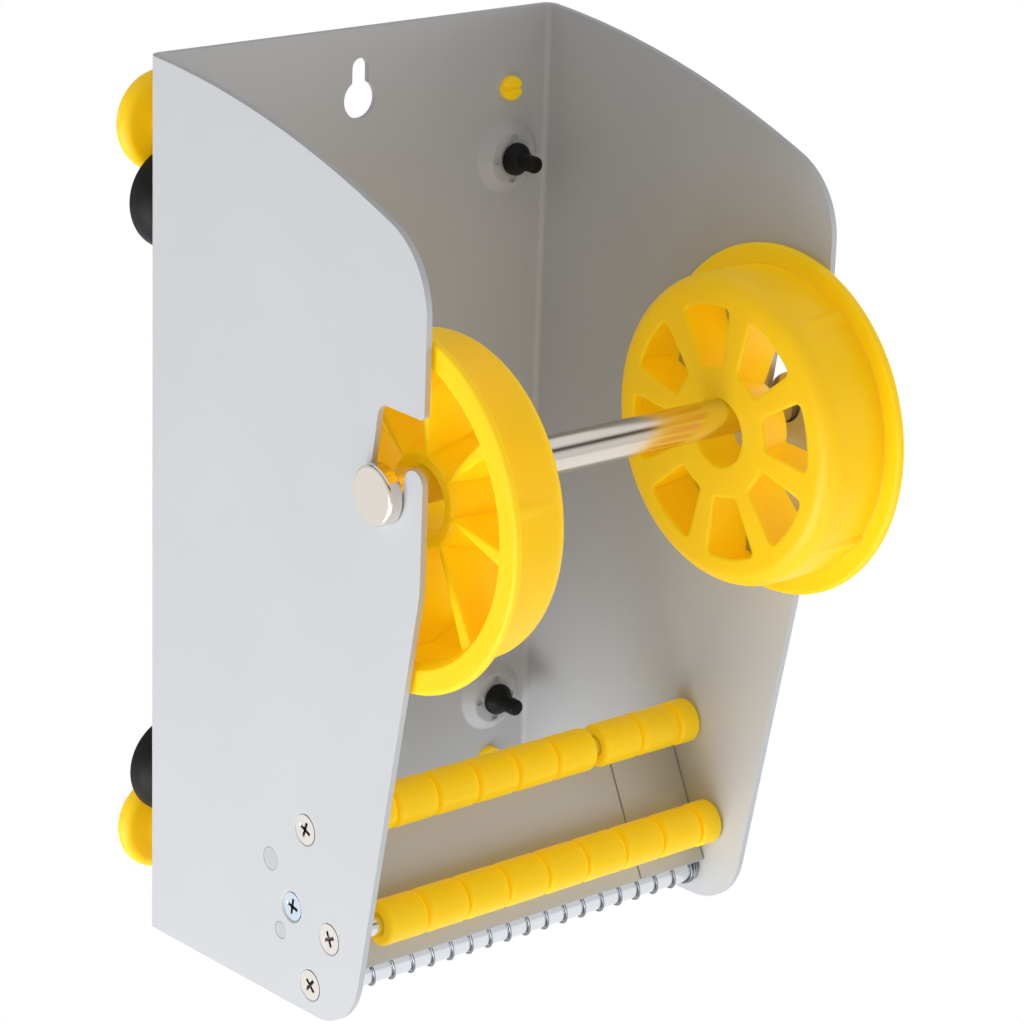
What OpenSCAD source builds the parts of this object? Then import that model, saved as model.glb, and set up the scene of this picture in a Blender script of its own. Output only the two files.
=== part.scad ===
// Hand label dispenser: a bent sheet housing with hook slots, a lift-out spindle with two
// core hubs, two segmented guide rollers, a sloped peel plate and a spring-wound peel bar.
// X runs across the dispenser, Y points into the wall behind it and Z points up.
// The origin is the centre of the keyhole's round hole, on the back face of the housing.

/* [Housing] */
// Width over the two side panels
housing_width = 120; // [100:1:160]
// Height of the back panel
housing_height = 220; // [205:1:260]
// Depth from the back face to the front edge
housing_depth = 106; // [100:1:120]
// Thickness of the bent sheet
sheet = 1.6; // [1.2:0.1:2]
// Inside radius of the two vertical bends
bend_radius = 1.4; // [0.5:0.1:2]
// Radius of the long curve along the top of a side panel
crown_radius = 295; // [260:1:330]
// Slope of that curve where it leaves the back panel, in degrees
crown_slope = 2.4; // [0:0.1:5]
// Radius of the upper front corner of a side panel
front_corner_radius = 20; // [12:1:26]
// Height at which the front edge starts to lean back
lean_height = 120.5; // [112:0.5:126]
// Lean of the lower front edge, in degrees
lean_angle = 10.6; // [8:0.1:12]
// Rise of the bottom edge towards the front, in degrees
bottom_rise = 3.1; // [0:0.1:5]
// Radius of the lower front corner
toe_radius = 17; // [10:1:20]

/* [Hook slots] */
// Width of the slot that the spindle drops into
slot_width = 11.8; // [10.5:0.1:13]
// Distance of the slot seat from the front edge
slot_inset = 12.9; // [12:0.1:16]
// Height of the centre of the slot seat
slot_seat_height = 141.5; // [138:0.5:146]
// Backward lean of the slot, in degrees
slot_lean = 9; // [5:0.5:12]
// Height of the upper edge of the slot mouth
mouth_height = 160; // [158:0.5:166]
// Height of the hook's rounded tip
hook_height = 148; // [146.5:0.1:149]
// Radius of the upper inner corner of the mouth
mouth_corner_radius = 3; // [1:0.5:4]
// Radius of the point above the mouth
beak_radius = 1.4; // [0.5:0.1:2]

/* [Wall fixings] */
// Diameter of the keyhole's round hole
keyhole_diameter = 9.5; // [8.5:0.1:11]
// Width of the keyhole's slot
keyhole_slot = 4.8; // [4:0.1:5.2]
// Distance from the round hole's centre to the centre of the slot's end
keyhole_reach = 7.8; // [6.5:0.1:9]
// Height of the keyhole's round hole
keyhole_height = 202.4; // [196:0.1:204]
// Distance of cups and feet from the outer faces of the side panels
fixing_inset = 13.6; // [13.2:0.1:18]
// Distance of the suction cups from the upper and lower edges
cup_inset = 37.5; // [34:0.5:40]
// Distance of the screw feet from the upper and lower edges
foot_inset = 20; // [17:0.5:22]

/* [Cup recesses] */
// Height of an embossed recess
boss_height = 2.4; // [1.5:0.1:3]
// Diameter of a recess at its foot
boss_diameter = 18.7; // [17:0.1:21]
// Diameter of its flat top
boss_top_diameter = 13.6; // [12:0.1:15]
// Diameter of the hole for the cup's neck
neck_hole = 4.8; // [4:0.1:5.6]
// Diameter of the four dimples round the neck
vent_diameter = 2.2; // [1.6:0.1:2.4]
// Depth of the dimples
vent_depth = 0.6; // [0.3:0.1:1]
// Distance of the dimples from the neck's axis
vent_circle_radius = 5; // [4.8:0.1:5.2]

/* [Suction cups] */
// Diameter of the lip
cup_diameter = 25.4; // [20:0.1:27]
// Distance of the lip behind the housing
cup_depth = 9; // [7:0.1:9.2]
// Wall of the cup near its lip
cup_wall = 1.2; // [0.8:0.1:2]
// Diameter of the knob that holds the cup in its hole
knob_diameter = 8.2; // [6.5:0.1:9]
// Length of the knob
knob_length = 4.6; // [3.5:0.1:5.5]
// Diameter of the pull tail
tail_diameter = 4.3; // [3:0.1:5]
// Length of the tail beyond the knob
tail_length = 4.6; // [3:0.1:7]

/* [Screw feet] */
// Diameter of the foot disc
foot_diameter = 25; // [20:0.1:27]
// Thickness of the foot disc
foot_thickness = 5; // [3.5:0.1:6]
// Distance from the housing to the disc
foot_standoff = 11.6; // [11.2:0.1:14]
// Diameter of the threaded stud
stud_diameter = 6; // [5:0.1:8]
// Length of stud that shows inside the housing
stud_proud = 1.8; // [1:0.1:3]
// Width of the screwdriver slot
stud_slot = 1.2; // [0.8:0.1:1.6]

/* [Spindle] */
// Diameter of the rod
rod_diameter = 9; // [7:0.1:10]
// Diameter of the end caps
cap_diameter = 14; // [13.5:0.1:16]
// Thickness of the end caps
cap_thickness = 3.6; // [3:0.1:5]
// Bevel round the outer edge of a cap
cap_bevel = 0.7; // [0.3:0.1:1.2]
// Diameter of the spigot that holds a cap on the rod
spigot_diameter = 5; // [4:0.1:6]

/* [Core hubs] */
// Diameter of the drum that fills the label core
drum_diameter = 75; // [70:0.5:76]
// Diameter of the flange
flange_diameter = 84.8; // [80:0.1:90]
// Length of a hub along the rod
hub_length = 19.5; // [16:0.5:24]
// Thickness of the flange
flange_thickness = 2; // [1.8:0.1:3]
// Wall of the drum
drum_wall = 2.3; // [1.8:0.1:3]
// Widening of the drum's mouth at the flange
mouth_flare = 1.5; // [0.5:0.1:2]
// Depth of the widened mouth
mouth_depth = 2.5; // [1.5:0.1:3]
// Radius of the drum's rounded rim
rim_radius = 4.5; // [2:0.1:5]
// Diameter of the bore
bore_diameter = 16.8; // [14:0.1:18]
// Diameter of the hub's core at the spoked face
core_diameter = 31.2; // [29:0.1:34]
// Wall of the core at its far end
core_wall = 2; // [1.5:0.1:3]
// Length of the core, and depth of the spokes beside it
core_length = 12; // [10:0.5:14]
// Depth of the spokes beside the drum
spoke_depth = 15.3; // [13:0.1:15.5]
// Number of spokes
spokes = 8; // [6:1:8]
// Angle between the two sides of a window, in degrees
window_angle = 36; // [28:1:38]
// Distance from the axis to the point where those sides meet
window_apex = 3.4; // [2:0.1:6]
// Distance from the axis to the outer edge of a window
window_outer = 30.4; // [27:0.1:31]
// Corner radius of a window
window_corner = 1.6; // [0.8:0.1:2.4]
// Thickness of the face before the pockets widen
face_thickness = 1.2; // [0.8:0.1:2]
// Draft of the spokes' sides, in degrees
spoke_draft = 7.5; // [4:0.5:8]
// Height of the tapered grip ridges at the flange
ridge_height = 1.1; // [0.5:0.1:1.3]
// Radius of a grip ridge's round back
ridge_radius = 3.4; // [2.5:0.1:4]
// Gap between the flange and the side panel
hub_side_gap = 1; // [0.5:0.1:3]

/* [Guide rollers] */
// Diameter of a roller sleeve
sleeve_diameter = 10.8; // [9:0.1:11]
// Free play left along a roller, seen as a gap beside the sleeves
roller_play = 5.6; // [4:0.1:8]
// Number of sleeves on each roller
sleeves = 8; // [5:1:8]
// Edge radius of a sleeve
sleeve_edge = 0.7; // [0.3:0.1:1.2]
// Length of the collar at each end of a roller
collar_length = 6.2; // [4:0.1:7]
// Diameter of the collar
collar_diameter = 11.1; // [9:0.1:11.6]
// Diameter of the axles and of the stay bar's neck
axle_diameter = 5; // [4.6:0.1:6]
// Distance of the upper axle behind the plate's lower edge
upper_axle_back = 9.2; // [7:0.1:11]
// Height of the upper axle above the plate's lower edge
upper_axle_rise = 35.2; // [34:0.1:39]
// Distance from the plate's lower edge to the lower axle, along the plate
lower_axle_climb = 9.6; // [8:0.1:11]
// Width of the gap that the loose sleeves leave in the upper roller
loose_gap = 2.2; // [0.5:0.1:3]
// Position of that gap, counted in sleeves from the right
loose_after = 2; // [1:1:4]

/* [Peel plate] */
// Thickness of the peel plate
plate_sheet = 1.5; // [1:0.1:1.6]
// Distance of the plate's lower edge from the front edge of the housing
lip_inset = 31.5; // [30:0.1:34]
// Height of the plate's lower front edge
lip_height = 14.5; // [14:0.1:16]
// Slope of the plate away from the vertical, in degrees
plate_slope = 27; // [25:0.5:29]
// Length of the plate along its slope
plate_length = 33.2; // [30:0.1:34]
// Distance from the middle to the seam between the two plates
seam_offset = 37.3; // [25:0.1:45]
// Width of the seam
seam_gap = 0.4; // [0.3:0.1:0.8]
// Diameter of the stay bar behind the plate
stay_diameter = 8; // [6:0.1:8.4]
// Distance from the plate's lower edge to the stay bar, along the plate
stay_climb = 18.6; // [17:0.1:20]
// Diameter of the larger rivet in each plate ear
rivet_diameter = 5.6; // [4:0.1:6]
// Diameter of the smaller rivet in each plate ear
small_rivet_diameter = 4.2; // [3:0.1:5]

/* [Peel bar] */
// Diameter of the peel bar
bar_diameter = 8; // [6:0.1:8.4]
// Gap between the spring on the peel bar and the plate
bar_gap = 0.9; // [0.5:0.1:1.5]
// Diameter of the spring wire
wire_diameter = 0.7; // [0.4:0.05:0.8]
// Distance between the spring's coils
spring_pitch = 5.9; // [4:0.1:8]

/* [Screws] */
// Diameter of a countersunk head
screw_head = 7.8; // [6:0.1:8.2]
// Width over the arms of the cross recess in a head
recess_width = 4.4; // [3.6:0.1:5]
// Diameter of a screw's shank
screw_shank = 3; // [2.5:0.1:3.4]
// Length of a screw
screw_length = 10; // [6:0.5:14]

/* [Hidden] */
$fn = 64;

// Clearances
fit = 0.05;
seat_gap = 0.1;
side_gap = 0.3;
sleeve_gap = 0.1;
through = 1;

// Main planes
half_width = housing_width / 2;
inner_half = half_width - sheet;
fixing_offset = half_width - fixing_inset;
slide_fit = 2 * fit;

// Corners of a side panel, as distance from the back face and height above the lower edge
front_centre_x = housing_depth - front_corner_radius;
crown_centre = [-crown_radius * sin(crown_slope), housing_height - crown_radius * cos(crown_slope)];
crown_end = asin((front_centre_x - crown_centre[0]) / (crown_radius - front_corner_radius));
front_centre = crown_centre + (crown_radius - front_corner_radius) * [sin(crown_end), cos(crown_end)];
back_foot = [0, 0];
toe_depth = (housing_depth - lean_height * tan(lean_angle)) / (1 - tan(bottom_rise) * tan(lean_angle));
toe = [toe_depth, toe_depth * tan(bottom_rise)];
lean = [housing_depth, lean_height];
front_top = [housing_depth, front_centre[1]];
lean_radius = 40;

// Hook slot
slot_r = slot_width / 2;
slot_dir = [sin(slot_lean), cos(slot_lean)];
slot_side = [cos(slot_lean), -sin(slot_lean)];
seat = [housing_depth - slot_inset, slot_seat_height];
slot_back = seat - slot_r * slot_side;
slot_front = seat + slot_r * slot_side;
mouth_back = slot_back + slot_dir * (mouth_height - slot_back[1]) / slot_dir[1];
mouth_front = [housing_depth, mouth_height];
hook_r = (housing_depth - slot_front[0] - (hook_height - slot_front[1]) * tan(slot_lean))
    / (1 + 1 / cos(slot_lean) - tan(slot_lean));
hook_centre = [housing_depth - hook_r, hook_height - hook_r];
spindle_drop = slot_r - rod_diameter / 2 - seat_gap;
spindle_at = seat - spindle_drop * slot_dir;

// Hub
hub_drop = (bore_diameter - rod_diameter) / 2 - seat_gap;
hub_at = [spindle_at[0], spindle_at[1] - hub_drop];
hub_outer_face = inner_half - hub_side_gap;
drum_r = drum_diameter / 2;
drum_inner_r = drum_r - drum_wall;
core_end_r = bore_diameter / 2 + core_wall;
core_r = core_diameter / 2;
spoke_step = 360 / spokes;
ridge_turn = 2.5;
right_hub_turn = 32.5;
left_hub_turn = 74.5;

// Rollers
collar_at = inner_half - side_gap - collar_length;
sleeve_pitch = (2 * collar_at - roller_play) / sleeves;
sleeve_length = sleeve_pitch - sleeve_gap;

// Peel plate
slope_up = [-sin(plate_slope), cos(plate_slope)];
slope_back = [-cos(plate_slope), -sin(plate_slope)];
lip_at = [housing_depth - lip_inset, lip_height];
roller_clearance = 0.25;
stay_clearance = 0.8;
wound_bar_r = bar_diameter / 2 + wire_diameter + seat_gap;
upper_axle_at = lip_at + [-upper_axle_back, upper_axle_rise];
lower_axle_at = lip_at + lower_axle_climb * slope_up
    - (collar_diameter / 2 + roller_clearance) * slope_back;
stay_at = lip_at + stay_climb * slope_up + (plate_sheet + stay_diameter / 2 + stay_clearance) * slope_back;
bar_at = lip_at - 0.3 * slope_up + (plate_sheet + wound_bar_r + bar_gap) * slope_back;
rivet_at = lip_at + [-22.6, 22.9];
small_rivet_at = lip_at + [-18.3, 6.1];
ear_rise = 4.8;
ear_outer = inner_half - side_gap;
ear_margin = 2.4;

// Points on an arc of radius r about c
function arc(c, r, from, to, steps = 12) =
    [for (i = [0:steps]) let (a = from + (to - from) * i / steps) c + r * [cos(a), sin(a)]];

// Points that round the corner at b, between its neighbours a and c
function unit(v) = v / norm(v);
function rounded(a, b, c, r, steps = 8) =
    let (u = unit(a - b), v = unit(c - b), half = acos(u * v) / 2,
         centre = b + unit(u + v) * r / sin(half),
         start = b + u * r / tan(half) - centre,
         side = u[0] * v[1] - u[1] * v[0] > 0 ? -1 : 1,
         from = atan2(start[1], start[0]))
    arc(centre, r, from, from + side * (180 - 2 * half), steps);

// Moves what is drawn from the lower edge of the back face to the keyhole origin
module from_lower_edge() {
    translate([0, 0, -keyhole_height]) children();
}

// Places a piece drawn along X at a distance from the back face and a height
module across(at) {
    from_lower_edge() translate([0, -at[0], at[1]]) children();
}

// Cylinder along X between two stations
module bar_x(x0, x1, d) {
    translate([x0, 0, 0]) rotate([0, 90, 0]) cylinder(d = d, h = x1 - x0);
}

// Extrudes a side view, with depth along x and height along y, from x0 to x1
module side_view(x0, x1) {
    translate([x1, 0, 0]) rotate([90, 0, -90]) linear_extrude(x1 - x0) children();
}

// Turns a profile, with radius along x and distance behind the housing along y
module turned_back(x, z) {
    translate([x, 0, z]) rotate([-90, 0, 0]) rotate_extrude() children();
}

// Outline of a side panel with its hook slot, going round from the foot of the back panel
module panel_outline() {
    polygon(concat(
        [back_foot],
        rounded(back_foot, toe, lean, toe_radius, 12),
        rounded(toe, lean, front_top, lean_radius, 4),
        arc(hook_centre, hook_r, 0, 180 - slot_lean, 16),
        arc(seat, slot_r, -slot_lean, -180 - slot_lean, 24),
        rounded(slot_back, mouth_back, mouth_front, mouth_corner_radius),
        rounded(mouth_back, mouth_front, front_top, beak_radius),
        arc(front_centre, front_corner_radius, 0, 90 - crown_end, 16),
        arc(crown_centre, crown_radius, 90 - crown_end, 90 - crown_slope, 24)));
}

// Strip that runs forward from a back edge, with its two back corners rounded
module round_backed(half, back, r, reach) {
    translate([-half, -reach]) square([2 * half, reach + back - r]);
    translate([-half + r, -reach]) square([2 * (half - r), reach + back]);
    for (s = [-1, 1]) translate([s * (half - r), back - r]) circle(r);
}

// Channel section of the bent sheet, seen from above
module channel_section() {
    difference() {
        round_backed(half_width, 0, bend_radius + sheet, housing_depth + through);
        round_backed(inner_half, -sheet, bend_radius, housing_depth + 2 * through);
    }
}

// Embossed recess for a suction cup: a blunt cone that points forward, with a soft foot and edge
module boss_form(d, top_d) {
    soft = 1;
    foot = [d / 2, 0];
    edge = [top_d / 2, boss_height];
    rotate([90, 0, 0]) rotate_extrude() polygon(concat(
        [[0, -sheet / 2], [d / 2 + 2 * soft, -sheet / 2]],
        rounded([d / 2 + 2 * soft, 0], foot, edge, soft, 4),
        rounded(foot, edge, [0, boss_height], soft, 4),
        [[0, boss_height]]));
}

// Calls its children at each suction cup
module at_cups() {
    for (side = [-1, 1], z = [cup_inset, housing_height - cup_inset])
        translate([side * fixing_offset, 0, z]) children();
}

// Calls its children at each screw foot
module at_feet() {
    for (side = [-1, 1], z = [foot_inset, housing_height - foot_inset])
        translate([side * fixing_offset, 0, z]) children();
}

// Countersunk hole through one side panel, from the outside
module countersink(side, at, clear) {
    translate([side * half_width, -at[0], at[1]]) rotate([0, -side * 90, 0]) {
        cylinder(d1 = screw_head + 2 * clear, d2 = screw_head - 2 * sheet + 2 * clear, h = sheet);
        cylinder(d = screw_shank + 2 * clear, h = sheet + through);
    }
}

// Hole along Y through the back panel and whatever stands on it
module back_hole(d) {
    translate([0, through, 0]) rotate([90, 0, 0]) cylinder(d = d, h = sheet + boss_height + 2 * through);
}

// Hole along X through one side panel and an ear behind it
module side_hole(side, at, d) {
    reach = sheet + side_gap + plate_sheet + 2 * through;
    translate([side * (half_width + through - reach / 2) - reach / 2, -at[0], at[1]]) bar_x(0, reach, d);
}

module cup_recess_cuts() {
    boss_form(boss_diameter - sheet, boss_top_diameter - sheet);
    back_hole(neck_hole);
    for (a = [0:90:270]) rotate([0, a, 0])
        translate([vent_circle_radius, vent_depth - sheet - boss_height, 0]) rotate([90, 0, 0])
            cylinder(d = vent_diameter, h = vent_depth + through);
}

module keyhole_cut() {
    back_hole(keyhole_diameter);
    translate([0, 0, keyhole_reach]) back_hole(keyhole_slot);
    translate([-keyhole_slot / 2, -sheet - through, 0])
        cube([keyhole_slot, sheet + 2 * through, keyhole_reach]);
}

module housing() {
    color("gainsboro") from_lower_edge() difference() {
        union() {
            intersection() {
                linear_extrude(housing_height) channel_section();
                side_view(-half_width - through, half_width + through) panel_outline();
            }
            at_cups() translate([0, -sheet, 0]) boss_form(boss_diameter, boss_top_diameter);
        }
        at_cups() cup_recess_cuts();
        at_feet() back_hole(stud_diameter + slide_fit);
        translate([0, 0, keyhole_height]) keyhole_cut();
        for (side = [-1, 1]) {
            for (at = [upper_axle_at, lower_axle_at, bar_at, stay_at]) countersink(side, at, 3 * fit);
            side_hole(side, rivet_at, rivet_diameter + slide_fit);
            side_hole(side, small_rivet_at, small_rivet_diameter + slide_fit);
        }
    }
}

// Sloped strip of the peel plate with one ear folded back along a side panel
module plate_strip(x0, x1, ear_side) {
    top = lip_at + plate_length * slope_up;
    ear_x = ear_side * (ear_outer - plate_sheet / 2);
    difference() {
        union() {
            side_view(x0, x1)
                polygon([lip_at, top, top + plate_sheet * slope_back, lip_at + plate_sheet * slope_back]);
            side_view(ear_x - plate_sheet / 2, ear_x + plate_sheet / 2)
                polygon(concat(
                    [lip_at + ear_rise * slope_up, top - ear_margin * slope_up],
                    arc(rivet_at, rivet_diameter / 2 + ear_margin, 75, 190, 8),
                    arc(small_rivet_at, small_rivet_diameter / 2 + ear_margin, 190, 300, 8)));
        }
        side_hole(ear_side, rivet_at, rivet_diameter + slide_fit);
        side_hole(ear_side, small_rivet_at, small_rivet_diameter + slide_fit);
        side_hole(ear_side, stay_at, screw_shank + slide_fit);
    }
}

module peel_plate() {
    color("silver") from_lower_edge() plate_strip(-ear_outer, seam_offset - seam_gap / 2, -1);
}

module peel_plate_end() {
    color("silver") from_lower_edge() plate_strip(seam_offset + seam_gap / 2, ear_outer, 1);
}

// Rivets that hold the plate ears to the side panels, with low heads inside
module ear_rivets() {
    head = 0.8;
    ear_inner = ear_outer - plate_sheet;
    color("gainsboro") from_lower_edge() for (side = [-1, 1]) mirror([side > 0 ? 1 : 0, 0, 0]) {
        translate([0, -rivet_at[0], rivet_at[1]]) {
            bar_x(-half_width, -ear_inner, rivet_diameter);
            bar_x(-ear_inner, -ear_inner + head, rivet_diameter + 2);
        }
        translate([0, -small_rivet_at[0], small_rivet_at[1]]) {
            bar_x(-half_width, -ear_inner, small_rivet_diameter);
            bar_x(-ear_inner, -ear_inner + head, small_rivet_diameter + 2);
        }
    }
}

// Rod along X with a tapped hole in each end
module tapped_rod(x_end, d) {
    depth = screw_length - (half_width - x_end) + 1;
    difference() {
        bar_x(-x_end, x_end, d);
        for (side = [-1, 1])
            bar_x(side * (x_end - depth / 2 + through / 2) - depth / 2 - through / 2,
                  side * (x_end - depth / 2 + through / 2) + depth / 2 + through / 2,
                  screw_shank + slide_fit);
    }
}

module stay_bar() {
    color("silver") across(stay_at) tapped_rod(ear_outer - plate_sheet, stay_diameter);
}

module upper_axle() {
    color("whitesmoke") across(upper_axle_at) tapped_rod(inner_half, axle_diameter);
}

module lower_axle() {
    color("whitesmoke") across(lower_axle_at) tapped_rod(inner_half, axle_diameter);
}

module peel_bar() {
    color("silver") across(bar_at) tapped_rod(inner_half, bar_diameter);
}

// Tapered cross recess for a screwdriver
module cross_recess() {
    arm = 0.9;
    depth = 1.3;
    intersection() {
        translate([0, 0, -through])
            cylinder(d1 = recess_width + 2 * through, d2 = recess_width - 2 * depth, h = depth + through);
        for (a = [0, 90]) rotate(a) translate([-recess_width, -arm / 2, -through])
            cube([2 * recess_width, arm, depth + 2 * through]);
    }
}

// Countersunk screw that enters from one side, with its head sunk below the panel's face
module screw(side, turn, sunk) {
    mirror([side > 0 ? 1 : 0, 0, 0]) translate([-half_width + sunk, 0, 0]) rotate([0, 90, 0]) difference() {
        union() {
            cylinder(d1 = screw_head - 2 * sunk, d2 = screw_head - 2 * sheet, h = sheet - sunk);
            cylinder(d = screw_shank, h = screw_length);
        }
        rotate(turn) cross_recess();
    }
}

module axle_screws() {
    color("lightgray") for (side = [-1, 1]) {
        across(upper_axle_at) screw(side, 20, fit);
        across(lower_axle_at) screw(side, 65, fit);
        across(bar_at) screw(side, 40, fit);
    }
}

module stay_screws() {
    color("lightsteelblue") for (side = [-1, 1]) across(stay_at) screw(side, 10, 3 * seat_gap);
}

// Plastic sleeve with rounded edges, from x0 to the right
module sleeve(x0, length, d, edge) {
    bore_r = axle_diameter / 2 + 2 * fit;
    r = d / 2;
    translate([x0, 0, 0]) rotate([0, 90, 0]) rotate_extrude()
        polygon(concat([[bore_r, 0]], arc([r - edge, edge], edge, -90, 0, 5),
                       arc([r - edge, length - edge], edge, 0, 90, 5), [[bore_r, length]]));
}

// Left end of sleeve i, counted from the left, with a gap left of the last few sleeves
function sleeve_x(i, gap) =
    collar_at - (sleeves + 1 - i) * sleeve_pitch - (i <= sleeves - loose_after ? gap : 0);

module upper_sleeve(i) {
    color("gold") across(upper_axle_at)
        if (i <= sleeves) sleeve(sleeve_x(i, loose_gap), sleeve_length, sleeve_diameter, sleeve_edge);
}

module lower_sleeve(i) {
    color("gold") across(lower_axle_at)
        if (i <= sleeves) sleeve(sleeve_x(i, 0), sleeve_length, sleeve_diameter, sleeve_edge);
}

// Collar at one end of a roller
module collar(at, side) {
    color("gold") across(at)
        sleeve(side > 0 ? collar_at : -collar_at - collar_length, collar_length, collar_diameter,
               sleeve_edge / 2);
}

module upper_collar_left() {
    collar(upper_axle_at, -1);
}

module upper_collar_right() {
    collar(upper_axle_at, 1);
}

module lower_collar_left() {
    collar(lower_axle_at, -1);
}

module lower_collar_right() {
    collar(lower_axle_at, 1);
}

// Compression spring drawn out along the peel bar, with closed turns at both ends
module peel_spring() {
    mean_r = bar_diameter / 2 + wire_diameter / 2 + seat_gap;
    x_end = inner_half - side_gap - wire_diameter / 2;
    closed = 2;
    closed_pitch = wire_diameter + seat_gap;
    open_length = 2 * (x_end - closed * closed_pitch);
    open = round(open_length / spring_pitch);
    turns = open + 2 * closed;
    start_turn = 180;
    per_turn = 18;
    sides = 6;
    steps = turns * per_turn;
    function along(n) =
        n < closed ? -x_end + n * closed_pitch
        : n > closed + open ? x_end - (turns - n) * closed_pitch
        : -x_end + closed * closed_pitch + (n - closed) * open_length / open;
    points = [for (k = [0:steps], j = [0:sides - 1])
        let (n = k / per_turn, a = 360 * n + start_turn, b = 360 * j / sides,
             r = mean_r + wire_diameter / 2 * cos(b))
        [along(n) + wire_diameter / 2 * sin(b), r * cos(a), r * sin(a)]];
    walls = [for (k = [0:steps - 1], j = [0:sides - 1])
        let (p = k * sides, q = (j + 1) % sides) [p + j, p + sides + j, p + sides + q, p + q]];
    start = [for (j = [0:sides - 1]) j];
    stop = [for (j = [sides - 1:-1:0]) steps * sides + j];
    color("silver") across(bar_at) polyhedron(points, concat(walls, [start, stop]));
}

module spindle_rod() {
    body_end = half_width + side_gap;
    spigot_end = body_end + cap_thickness * 0.7;
    color("silver") across(spindle_at) {
        bar_x(-body_end, body_end, rod_diameter);
        bar_x(-spigot_end, spigot_end, spigot_diameter);
    }
}

// Bevelled button on one end of the rod
module end_cap(side) {
    inner = half_width + side_gap;
    r = cap_diameter / 2;
    across(spindle_at) mirror([side > 0 ? 1 : 0, 0, 0]) translate([-inner, 0, 0])
        rotate([0, -90, 0]) difference() {
            rotate_extrude() polygon([
                [0, 0], [r - cap_bevel / 2, 0], [r, cap_bevel / 2], [r, cap_thickness - cap_bevel],
                [r - cap_bevel, cap_thickness], [0, cap_thickness]]);
            translate([0, 0, -through])
                cylinder(d = spigot_diameter + slide_fit, h = through + cap_thickness * 0.7 + seat_gap);
        }
}

module left_cap() {
    color("silver") end_cap(-1);
}

module right_cap() {
    color("silver") end_cap(1);
}

// Centre of a window's corner, at distance r from the axis
function window_corner_centre(r) =
    let (h = window_angle / 2, along = [cos(h), sin(h)],
         start = [window_apex, 0] + window_corner * [sin(h), -cos(h)], b = start * along)
    start + (sqrt(b * b - start * start + r * r) - b) * along;

// Window between two spokes, as points round a wedge with rounded corners
function window_points() =
    let (h = window_angle / 2, c = window_corner, far = window_corner_centre(window_outer - c),
         near = window_corner_centre(core_r + c),
         far_a = atan2(far[1], far[0]), near_a = atan2(near[1], near[0]))
    concat(
        arc([far[0], -far[1]], c, -90 - h, -far_a, 4),
        arc([0, 0], window_outer, -far_a, far_a, 8),
        arc(far, c, far_a, 90 + h, 4),
        arc(near, c, 90 + h, 180 + near_a, 4),
        arc([0, 0], core_r, near_a, -near_a, 5),
        arc([near[0], -near[1]], c, 180 - near_a, 270 - h, 4));

// Radius of the core's cone at a depth behind the spoked face
function core_r_at(z) = core_r + (core_end_r + 0.3 - core_r) * z / core_length;

// Half space on the window's side of one drafted spoke
module spoke_side(side) {
    size = 2 * drum_diameter;
    translate([window_apex, 0, 0]) rotate(side * window_angle / 2) rotate([-side * spoke_draft, 0, 0])
        translate([-size / 2, side > 0 ? -size : 0, -size / 2]) cube(size);
}

// Pocket behind the face between two spokes, a wedge that widens with depth
module pocket() {
    widest = 6.5;
    over = through / 2;
    ledge = 0.1;
    intersection() {
        rotate_extrude() polygon([
            [core_r_at(face_thickness), face_thickness],
            [core_r_at(core_length + over), core_length + over],
            [drum_inner_r - ledge, spoke_depth + over], [drum_inner_r - 4 * ledge, widest],
            [window_outer + (drum_inner_r - window_outer) * face_thickness / widest, face_thickness]]);
        spoke_side(1);
        spoke_side(-1);
    }
}

// Grip ridges on the drum that rise towards the flange
module grip_ridges(turn) {
    start = rim_radius + 0.5;
    difference() {
        for (a = [0:90:270]) rotate(turn + a)
            translate([drum_r - ridge_radius + ridge_height, 0, start]) cylinder(
                r1 = ridge_radius - 0.85 * ridge_height, r2 = ridge_radius,
                h = hub_length - flange_thickness / 2 - start);
        cylinder(r = drum_r - drum_wall / 2, h = hub_length);
    }
}

// Hub before its windows are opened: core, spokes, drum, flange and grip ridges
module closed_hub(turn) {
    flange_r = flange_diameter / 2;
    edge = 0.8;
    face = hub_length;
    difference() {
        union() {
            rotate_extrude($fn = 96) polygon(concat(
                [[bore_diameter / 2, 0]],
                arc([drum_r - rim_radius, rim_radius], rim_radius, -90, 0, 8),
                [[drum_r, face - flange_thickness]],
                arc([flange_r - edge, face - flange_thickness + edge], edge, -90, 0, 4),
                arc([flange_r - edge, face - edge], edge, 0, 90, 4),
                [[drum_inner_r + mouth_flare, face], [drum_inner_r, face - mouth_depth],
                 [drum_inner_r, spoke_depth], [core_end_r, core_length], [bore_diameter / 2, core_length]]));
            grip_ridges(turn + ridge_turn);
        }
        for (i = [0:spokes - 1]) rotate(turn + i * spoke_step) pocket();
    }
}

// Core hub along +Z, with its spoked face at zero and its flange at the far end
module hub_form(turn) {
    difference() {
        closed_hub(turn);
        for (i = [0:spokes - 1]) rotate(turn + i * spoke_step) translate([0, 0, -through])
            linear_extrude(face_thickness + 2 * through) polygon(window_points());
    }
}

// Hangs a hub on the rod, with its flange towards one side panel
module hung_hub(side, turn) {
    color("gold") across(hub_at) mirror([side > 0 ? 0 : 1, 0, 0])
        translate([hub_outer_face - hub_length, 0, 0]) rotate([0, 90, 0]) rotate(90) hub_form(turn);
}

module right_hub() {
    hung_hub(1, right_hub_turn);
}

module left_hub() {
    hung_hub(-1, left_hub_turn);
}

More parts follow.
